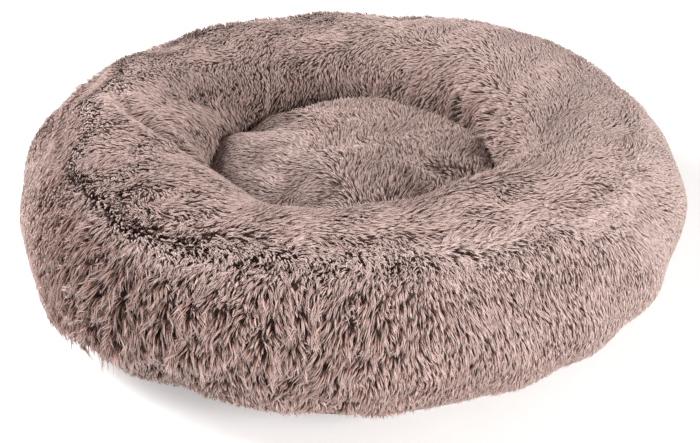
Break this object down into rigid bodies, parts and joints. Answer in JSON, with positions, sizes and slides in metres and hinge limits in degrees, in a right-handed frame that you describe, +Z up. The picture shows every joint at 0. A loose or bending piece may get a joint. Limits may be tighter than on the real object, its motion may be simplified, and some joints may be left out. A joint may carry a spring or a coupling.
{
  "type": "round plush pet bed",
  "caption": "Round donut pet bed: a stuffed long-pile plush rim round a well with a loose domed cushion, closed underneath by a zip.",
  "frame": {"origin": "on the floor under the centre of the bed", "axes": "+Z up, the front of the bed faces -Y, the closed zip's slider is near +X"},
  "size_m": [0.8, 0.8, 0.204],
  "materials": {
    "plush": "long-pile faux fur, soft sheen, pinkish taupe",
    "base_cloth": "matt plain weave with rubbery grip dots underneath",
    "liner": "matt non-woven",
    "fibre": "loose polyester fibre",
    "tape": "matt ribbed tape",
    "label": "satin ribbon, blank",
    "coil": "semi-gloss nylon",
    "zip_metal": "nickel-plated die casting"
  },
  "bodies": {
    "bed": {"rim_wall_front": "plush", "rim_wall_rear": "plush", "rim_crown_front": "plush", "rim_crown_rear": "plush", "base_cloth": "base_cloth", "base_binding": "tape", "well_stay_tape": "tape", "care_label": "label", "rim_insert_upper": "liner", "rim_insert_lower": "liner", "rim_filling": "fibre", "zip_tape_lower": "tape", "zip_tape_upper": "tape", "zip_coil_lower": "coil", "zip_coil_upper": "coil", "zip_stop_closed": "zip_metal", "zip_stop_open": "zip_metal"},
    "cushion": {"cushion_top_panel": "plush", "cushion_base_panel": "base_cloth", "cushion_insert_upper": "liner", "cushion_insert_lower": "liner", "cushion_filling": "fibre"},
    "zip_slider": {"zip_slider": "zip_metal"},
    "zip_pull": {"zip_pull": "zip_metal"}
  },
  "joints": [
    {"name": "cushion_lift", "type": "slide", "parent": "bed", "child": "cushion", "axis": [0, 0, 1], "range_m": [0, 0.22]},
    {"name": "zip_slider_travel", "type": "hinge", "parent": "bed", "child": "zip_slider", "pos_m": [0, 0, 0.01248], "axis": [0, 0, 1], "range_deg": [0, 163.5]},
    {"name": "zip_pull_swing", "type": "hinge", "parent": "zip_slider", "child": "zip_pull", "pos_m": [0.34164, 0.04909, 0.00758], "axis": [-0.9151, -0.1315, -0.3813], "range_deg": [0, 170]}
  ]
}
